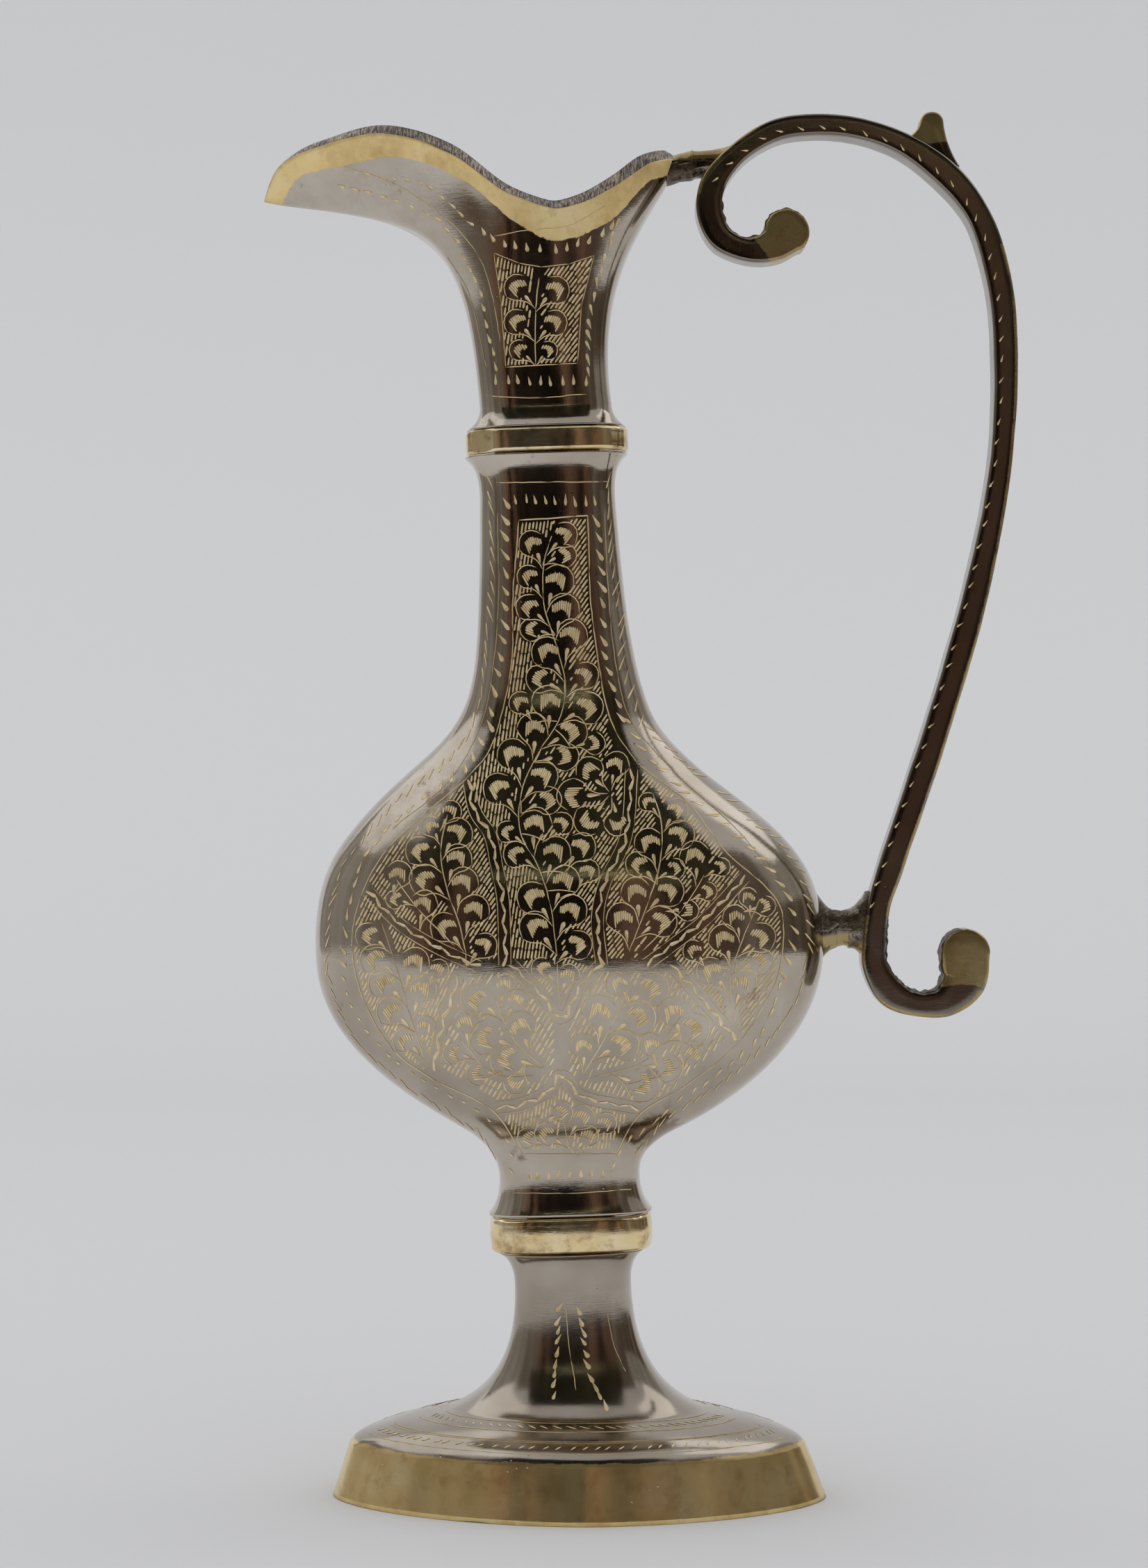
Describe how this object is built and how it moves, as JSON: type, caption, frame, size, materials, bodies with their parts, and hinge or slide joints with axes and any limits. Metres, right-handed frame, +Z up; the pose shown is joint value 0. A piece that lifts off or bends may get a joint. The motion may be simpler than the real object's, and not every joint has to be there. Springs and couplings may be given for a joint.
{
  "type": "metal ewer",
  "caption": "Tall flattened ewer with a pear-shaped belly, long neck, beaked lip, spreading oval foot and scrolled strap handle, engraved over grey-plated brass.",
  "frame": {"origin": "middle of the whole ewer's footprint box, on the surface that it stands on", "axes": "+Z up, beak towards -X, handle towards +X, engraved front towards -Y"},
  "size_m": [0.1376, 0.054, 0.2499],
  "materials": {
    "plating": "dark grey nickel-coloured plating over brass, polished and worn",
    "bare_brass": "polished brass, slightly dull",
    "solder": "grey solder and braze metal, lumpy and matt"
  },
  "bodies": {
    "root": {"foot": "plating", "lower_collar": "bare_brass", "lower_ferrule": "bare_brass", "body_floor": "bare_brass", "body_front": "plating", "body_rear": "plating", "upper_collar": "bare_brass", "upper_ferrule": "bare_brass", "spout_front": "plating", "spout_rear": "plating", "handle": "plating", "rim_lug": "plating", "rim_braze": "solder", "belly_lug": "bare_brass", "belly_braze": "solder", "strap_braze": "solder"}
  },
  "joints": []
}
